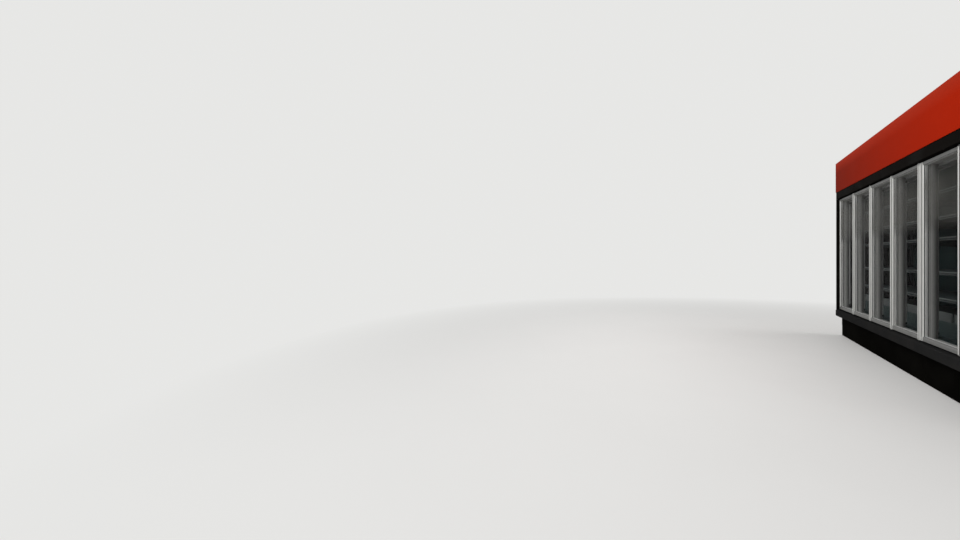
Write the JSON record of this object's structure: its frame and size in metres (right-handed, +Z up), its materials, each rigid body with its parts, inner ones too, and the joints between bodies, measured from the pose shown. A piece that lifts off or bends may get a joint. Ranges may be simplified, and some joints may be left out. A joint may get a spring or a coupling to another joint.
{
  "type": "refrigerated display cabinet with glass doors",
  "caption": "Upright refrigerated wall cabinet row with hinged glass doors, a black header and a tall red fascia, for a food shop.",
  "frame": {"origin": "on the floor, at the middle of the cabinet row's length and depth", "axes": "+X along the row, to the right as seen from the front; the doors face -Y; +Z up"},
  "size_m": [3.87, 0.9, 2.55],
  "materials": {
    "galvanised": "galvanised",
    "black_paint": "semi-gloss",
    "dark_liner": "satin",
    "grey_skin": "satin",
    "bumper_grey": "satin",
    "red_panel": "gloss",
    "satin_aluminium": "satin anodised",
    "hinge_steel": "brushed",
    "light_cover": "frosted",
    "pale_plastic": "satin",
    "dark_shelf": "satin",
    "door_glass": "clear",
    "black_rubber": "matt"
  },
  "bodies": {
    "cabinet": {"base_beams": "galvanised", "levelling_feet": "galvanised", "kick_plate": "black_paint", "side_kicks": "black_paint", "floor_tank": "dark_liner", "back_wall": "grey_skin", "end_walls": "black_paint", "roof": "grey_skin", "bumper": "bumper_grey", "header": "black_paint", "fascia": "red_panel", "fascia_posts": "galvanised", "sill": "satin_aluminium", "head_rail": "satin_aluminium", "mullions": "satin_aluminium", "pivot_brackets": "hinge_steel", "light_strips": "light_cover", "return_grille": "dark_liner", "deck": "dark_liner", "deck_riser": "pale_plastic", "duct_panel": "dark_liner", "ceiling_panel": "dark_liner", "air_outlet": "pale_plastic", "shelf_uprights": "dark_shelf", "shelf_brackets": "dark_shelf", "price_rails": "pale_plastic", "shelf_1": "dark_shelf", "shelf_2": "dark_shelf", "shelf_3": "dark_shelf", "shelf_4": "dark_shelf", "shelf_5": "dark_shelf"},
    "door_1": {"door_frame_1": "satin_aluminium", "door_glass_1": "door_glass", "door_seal_1": "black_rubber"},
    "door_2": {"door_frame_2": "satin_aluminium", "door_glass_2": "door_glass", "door_seal_2": "black_rubber"},
    "door_3": {"door_frame_3": "satin_aluminium", "door_glass_3": "door_glass", "door_seal_3": "black_rubber"},
    "door_4": {"door_frame_4": "satin_aluminium", "door_glass_4": "door_glass", "door_seal_4": "black_rubber"},
    "door_5": {"door_frame_5": "satin_aluminium", "door_glass_5": "door_glass", "door_seal_5": "black_rubber"},
    "door_6": {"door_frame_6": "satin_aluminium", "door_glass_6": "door_glass", "door_seal_6": "black_rubber"}
  },
  "joints": [
    {"name": "door_1_hinge", "type": "hinge", "parent": "cabinet", "child": "door_1", "pos_m": [-1.29, -0.399, 0.392], "axis": [0, 0, 1], "range_deg": [0, 90]},
    {"name": "door_2_hinge", "type": "hinge", "parent": "cabinet", "child": "door_2", "pos_m": [-0.665, -0.399, 0.392], "axis": [0, 0, 1], "range_deg": [0, 90]},
    {"name": "door_3_hinge", "type": "hinge", "parent": "cabinet", "child": "door_3", "pos_m": [-0.04, -0.399, 0.392], "axis": [0, 0, 1], "range_deg": [0, 90]},
    {"name": "door_4_hinge", "type": "hinge", "parent": "cabinet", "child": "door_4", "pos_m": [0.585, -0.399, 0.392], "axis": [0, 0, 1], "range_deg": [0, 90]},
    {"name": "door_5_hinge", "type": "hinge", "parent": "cabinet", "child": "door_5", "pos_m": [1.25, -0.399, 0.392], "axis": [0, 0, 1], "range_deg": [0, 90]},
    {"name": "door_6_hinge", "type": "hinge", "parent": "cabinet", "child": "door_6", "pos_m": [1.875, -0.399, 0.392], "axis": [0, 0, 1], "range_deg": [0, 90]}
  ]
}
